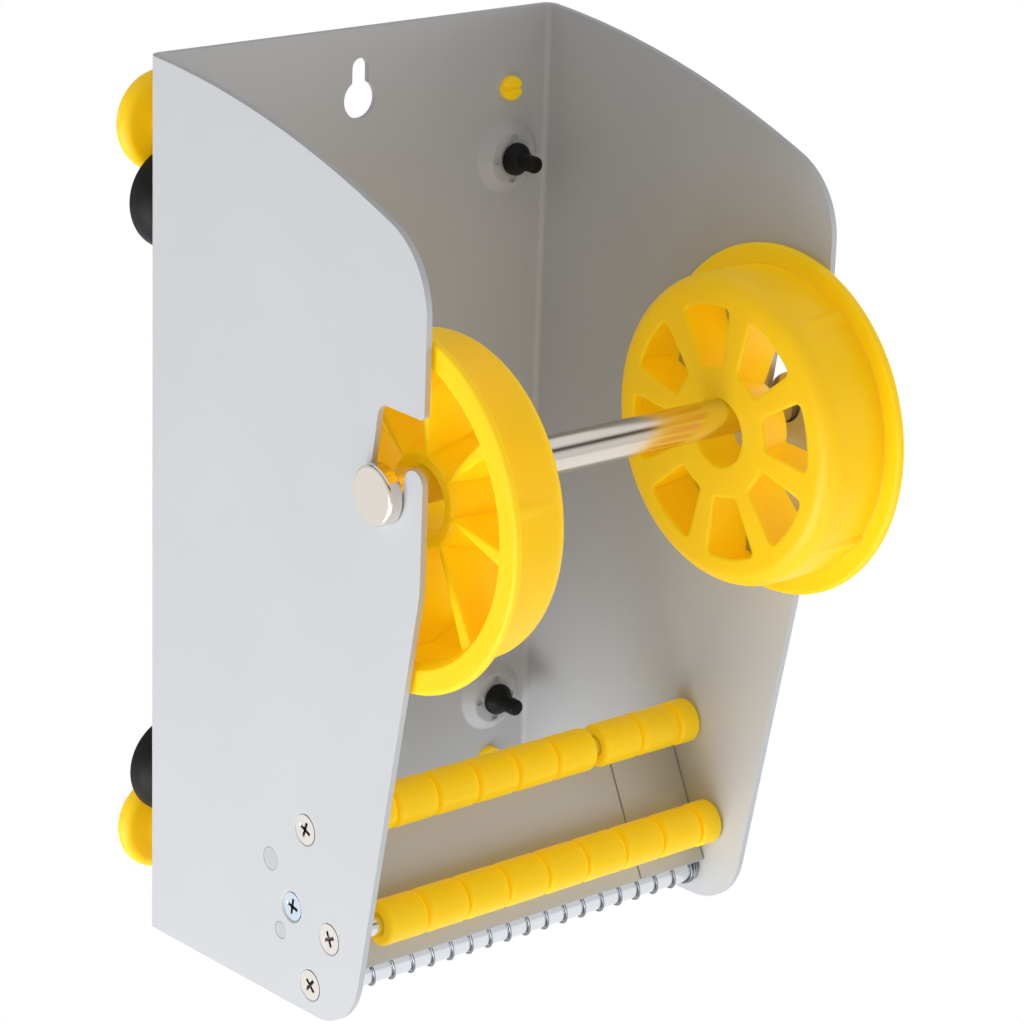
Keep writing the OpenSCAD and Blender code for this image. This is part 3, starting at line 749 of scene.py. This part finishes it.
@dataclass(frozen=True)
class Lamp:
    """A soft rectangular lamp that looks at the dispenser.

    Attributes:
        name: Name of the lamp.
        at: Its place, in millimetres.
        size: Its width and height, in millimetres.
        power: Its power, in watts.
        mirrored: Whether metals mirror it.
        aim: Point that it looks at, in millimetres.
    """

    name: str
    at: tuple[float, float, float]
    size: tuple[float, float]
    power: float
    mirrored: bool = True
    aim: tuple[float, float, float] = (0, -50, -90)

    def build(self) -> None:
        """Adds the lamp to the scene."""
        data = bpy.data.lights.new(self.name, "AREA")
        data.shape = "RECTANGLE"
        data.size, data.size_y = self.size[0] * MM, self.size[1] * MM
        data.energy = self.power
        lamp = bpy.data.objects.new(self.name, data)
        lamp.location = Vector(self.at) * MM
        path = Vector(self.aim) * MM - lamp.location
        lamp.rotation_euler = path.to_track_quat("-Z", "Y").to_euler()
        lamp.visible_glossy = self.mirrored
        bpy.context.scene.collection.objects.link(lamp)


@dataclass
class Studio:
    """Camera, lamps and pale floor.

    Attributes:
        camera_at: Place of the camera, in millimetres.
        pitch: Downward tilt of the camera, in degrees.
        yaw: Turn of the camera to the right, in degrees.
        roll: Turn of the camera about its own axis, in degrees.
        lens: Focal length on a 36 mm sensor, in millimetres.
        surround: Strength of the even light from all sides.
        floor_gap: Distance of the floor below the housing, in millimetres.
        floor_half: Half the floor's width, in millimetres.
        floor_shade: Shade of the floor.
        mirrored_floor: Shade of the floor in metals.
        bands: Place from 0, straight down, to 1, straight up, and shade of each band that metals mirror.
        lamps: The lamps.
    """

    camera_at: tuple[float, float, float] = (-523.8, -695.7, 199.5)
    pitch: float = 19.23
    yaw: float = 39.67
    roll: float = 1.99
    lens: float = 129.64
    surround: float = 0.46
    floor_gap: float = 900.0
    floor_half: float = 4000.0
    floor_shade: float = 0.9
    mirrored_floor: float = 0.98
    bands: tuple[tuple[float, float], ...] = (
        (0.01, 0.55), (0.35, 0.70), (0.64, 0.75), (0.71, 0.45), (0.74, 0.03), (0.80, 0.03), (0.85, 0.85),
        (0.99, 0.8),
    )
    lamps: tuple[Lamp, ...] = (
        Lamp("left_light", (-1000, -80, -650), (800, 800), 10.7),
        Lamp("front_light", (-250, -900, -800), (900, 700), 1.6),
        Lamp("right_light", (700, -950, -200), (800, 500), 3.6, mirrored=False),
    )

    def build(self) -> None:
        """Sets up the camera, the world, the floor and the lamps."""
        self.camera()
        self.world()
        self.floor()
        for lamp in self.lamps:
            lamp.build()

    def camera(self) -> None:
        """Makes the camera at the photograph's viewing angle."""
        data = bpy.data.cameras.new("camera")
        data.sensor_width = 36.0
        data.lens = self.lens
        data.clip_start, data.clip_end = 0.05, 50.0
        camera = bpy.data.objects.new("camera", data)
        camera.matrix_world = (
            Matrix.Translation(Vector(self.camera_at) * MM)
            @ Matrix.Rotation(math.radians(-self.yaw), 4, "Z")
            @ Matrix.Rotation(math.radians(90 - self.pitch), 4, "X")
            @ Matrix.Rotation(math.radians(self.roll), 4, "Z")
        )
        bpy.context.scene.collection.objects.link(camera)
        bpy.context.scene.camera = camera

    def world(self) -> None:
        """Makes an even pale surround, white to the camera and banded from dark to white in the metals."""
        world = bpy.data.worlds.new("pale_room")
        world.use_nodes = True
        bpy.context.scene.world = world
        nodes = NodeTree(world.node_tree)
        light = world.node_tree.nodes["Background"]
        light.inputs["Color"].default_value = (1.0, 1.0, 1.0, 1.0)
        light.inputs["Strength"].default_value = self.surround
        place = nodes.add("ShaderNodeTexCoord")
        split = nodes.add("ShaderNodeSeparateXYZ")
        bands = nodes.add("ShaderNodeValToRGB")
        bands.color_ramp.interpolation = "EASE"
        stops = bands.color_ramp.elements
        for spot, shade in self.bands:
            stop = stops.new(spot)
            stop.color = (shade, shade, shade, 1.0)
        stops.remove(stops[0])
        stops.remove(stops[-1])
        lift = nodes.add("ShaderNodeMapRange", in_From_Min=-1.0)
        nodes.link(place.outputs["Generated"], split.inputs[0])
        nodes.link(split.outputs["Z"], lift.inputs["Value"])
        nodes.link(lift.outputs["Result"], bands.inputs["Fac"])
        mirrored = nodes.add("ShaderNodeBackground", in_Strength=1.0)
        nodes.link(bands.outputs["Color"], mirrored.inputs["Color"])
        seen = nodes.add("ShaderNodeBackground", in_Color=(1.0, 1.0, 1.0, 1.0), in_Strength=1.0)
        path = nodes.add("ShaderNodeLightPath")
        gloss = nodes.add("ShaderNodeMixShader")
        mix = nodes.add("ShaderNodeMixShader")
        nodes.link(path.outputs["Is Glossy Ray"], gloss.inputs[0])
        nodes.link(light.outputs[0], gloss.inputs[1])
        nodes.link(mirrored.outputs[0], gloss.inputs[2])
        nodes.link(path.outputs["Is Camera Ray"], mix.inputs[0])
        nodes.link(gloss.outputs[0], mix.inputs[1])
        nodes.link(seen.outputs[0], mix.inputs[2])
        nodes.link(mix.outputs[0], world.node_tree.nodes["World Output"].inputs["Surface"])

    def floor(self) -> None:
        """Makes a wide pale floor under the dispenser that shows white to the camera."""
        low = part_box("housing")[0][2] - self.floor_gap * MM
        bm = bmesh.new()
        bmesh.ops.create_grid(bm, x_segments=8, y_segments=8, size=self.floor_half * MM)
        bmesh.ops.translate(bm, verts=bm.verts, vec=(0, 0, low))
        mesh = bpy.data.meshes.new("floor")
        bm.to_mesh(mesh)
        bm.free()
        floor = bpy.data.objects.new("floor", mesh)
        bpy.context.scene.collection.objects.link(floor)
        made = bpy.data.materials.new("pale_floor")
        made.use_nodes = True
        nodes = NodeTree(made.node_tree)
        shader = made.node_tree.nodes["Principled BSDF"]
        shader.inputs["Base Color"].default_value = (self.floor_shade,) * 3 + (1.0,)
        shader.inputs["Roughness"].default_value = 0.9
        glow = nodes.add("ShaderNodeEmission", in_Color=(1.0, 1.0, 1.0, 1.0))
        path = nodes.add("ShaderNodeLightPath")
        seen = nodes.add("ShaderNodeMath", operation="MAXIMUM")
        shade = nodes.add("ShaderNodeMapRange")
        shade.inputs["To Min"].default_value = self.mirrored_floor
        mix = nodes.add("ShaderNodeMixShader")
        nodes.link(path.outputs["Is Camera Ray"], shade.inputs["Value"])
        nodes.link(shade.outputs["Result"], glow.inputs["Strength"])
        nodes.link(path.outputs["Is Camera Ray"], seen.inputs[0])
        nodes.link(path.outputs["Is Glossy Ray"], seen.inputs[1])
        nodes.link(seen.outputs[0], mix.inputs[0])
        nodes.link(shader.outputs[0], mix.inputs[1])
        nodes.link(glow.outputs[0], mix.inputs[2])
        nodes.link(mix.outputs[0], made.node_tree.nodes["Material Output"].inputs["Surface"])
        mesh.materials.append(made)


def main() -> None:
    """Builds every sub-assembly in order, then the studio."""
    logging.basicConfig(level=logging.INFO, format="%(name)s: %(message)s")
    bpy.context.scene.view_settings.view_transform = "Standard"
    assemblies = [
        Housing(), PeelPlate(), Rods(), PeelSpring(), Roller(Level.UPPER), Roller(Level.LOWER),
        Spindle(), CoreHub(Side.LEFT), CoreHub(Side.RIGHT), BackFixings(), PanelScrews(), Studio(),
    ]
    for assembly in assemblies:
        assembly.build()


if __name__ == "__main__":
    main()
